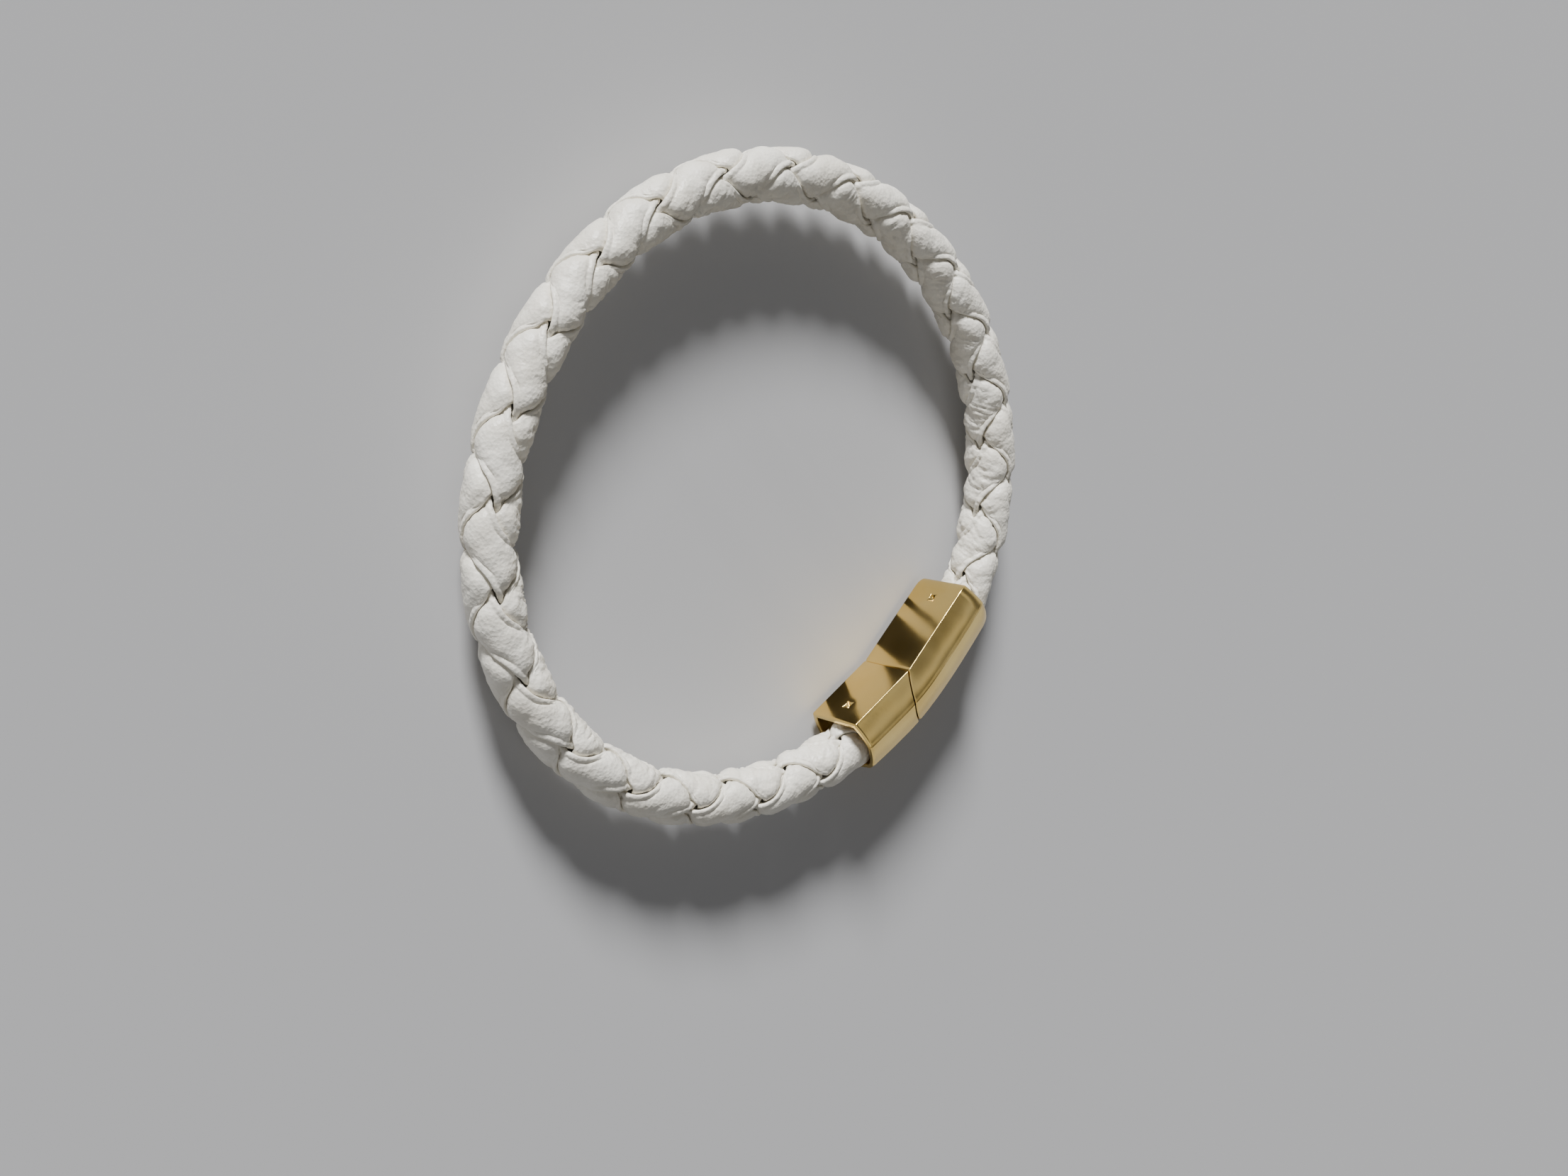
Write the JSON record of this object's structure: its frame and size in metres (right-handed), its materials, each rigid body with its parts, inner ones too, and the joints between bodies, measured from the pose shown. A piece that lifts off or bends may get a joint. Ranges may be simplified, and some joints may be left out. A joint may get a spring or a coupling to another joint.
{
  "type": "bracelet",
  "caption": "Round-braided leather bracelet with a gilt magnetic tongue-and-socket clasp. The braid bends open to go round a wrist.",
  "frame": {"origin": "centre of the closed ring, in the mid plane of the braid", "axes": "+Z along the ring's axis, with the bracelet lying flat; the clasp's seam is at -Y; +X is the side of the long (socket) half"},
  "size_m": [0.0732, 0.0685, 0.009],
  "materials": {
    "white_leather": "soft, finely wrinkled, satin",
    "gilt_metal": "mirror polished gold tone",
    "magnet_nickel": "nickel plated",
    "binding_thread": "matt waxed thread"
  },
  "bodies": {
    "socket_end": {"strip_a_section_1": "white_leather", "strip_b_section_1": "white_leather", "strip_c_section_1": "white_leather", "strip_d_section_1": "white_leather", "clasp_socket_half": "gilt_metal", "socket_magnet": "magnet_nickel", "socket_end_binding": "binding_thread"},
    "braid_section_2": {"strip_a_section_2": "white_leather", "strip_b_section_2": "white_leather", "strip_c_section_2": "white_leather", "strip_d_section_2": "white_leather"},
    "braid_section_3": {"strip_a_section_3": "white_leather", "strip_b_section_3": "white_leather", "strip_c_section_3": "white_leather", "strip_d_section_3": "white_leather"},
    "braid_section_4": {"strip_a_section_4": "white_leather", "strip_b_section_4": "white_leather", "strip_c_section_4": "white_leather", "strip_d_section_4": "white_leather"},
    "braid_section_5": {"strip_a_section_5": "white_leather", "strip_b_section_5": "white_leather", "strip_c_section_5": "white_leather", "strip_d_section_5": "white_leather"},
    "braid_section_6": {"strip_a_section_6": "white_leather", "strip_b_section_6": "white_leather", "strip_c_section_6": "white_leather", "strip_d_section_6": "white_leather"},
    "tongue_end": {"strip_a_section_7": "white_leather", "strip_b_section_7": "white_leather", "strip_c_section_7": "white_leather", "strip_d_section_7": "white_leather", "clasp_tongue_half": "gilt_metal", "tongue_magnet": "magnet_nickel", "tongue_end_binding": "binding_thread"}
  },
  "joints": [
    {"name": "open_bracelet", "type": "hinge", "parent": "braid_section_4", "child": "braid_section_3", "pos_m": [0.01147, 0.02971, 0], "axis": [0, 0, 1], "range_deg": [0, 17]},
    {"name": "bend_section_2", "type": "hinge", "parent": "braid_section_3", "child": "braid_section_2", "pos_m": [0.03061, 0.01323, 0], "axis": [0, 0, 1], "range_deg": [0, 17]},
    {"name": "bend_section_1", "type": "hinge", "parent": "braid_section_2", "child": "socket_end", "pos_m": [0.03115, -0.01201, 0], "axis": [0, 0, 1], "range_deg": [0, 17]},
    {"name": "bend_section_5", "type": "hinge", "parent": "braid_section_4", "child": "braid_section_5", "pos_m": [-0.01396, 0.02821, 0], "axis": [0, 0, -1], "range_deg": [0, 17]},
    {"name": "bend_section_6", "type": "hinge", "parent": "braid_section_5", "child": "braid_section_6", "pos_m": [-0.03209, 0.01052, 0], "axis": [0, 0, -1], "range_deg": [0, 17]},
    {"name": "bend_section_7", "type": "hinge", "parent": "braid_section_6", "child": "tongue_end", "pos_m": [-0.03013, -0.01448, 0], "axis": [0, 0, -1], "range_deg": [0, 17]}
  ],
  "couplings": [
    {"joint": "bend_section_2", "follows": "open_bracelet", "ratio": 1},
    {"joint": "bend_section_1", "follows": "open_bracelet", "ratio": 1},
    {"joint": "bend_section_5", "follows": "open_bracelet", "ratio": 1},
    {"joint": "bend_section_6", "follows": "open_bracelet", "ratio": 1},
    {"joint": "bend_section_7", "follows": "open_bracelet", "ratio": 1}
  ]
}
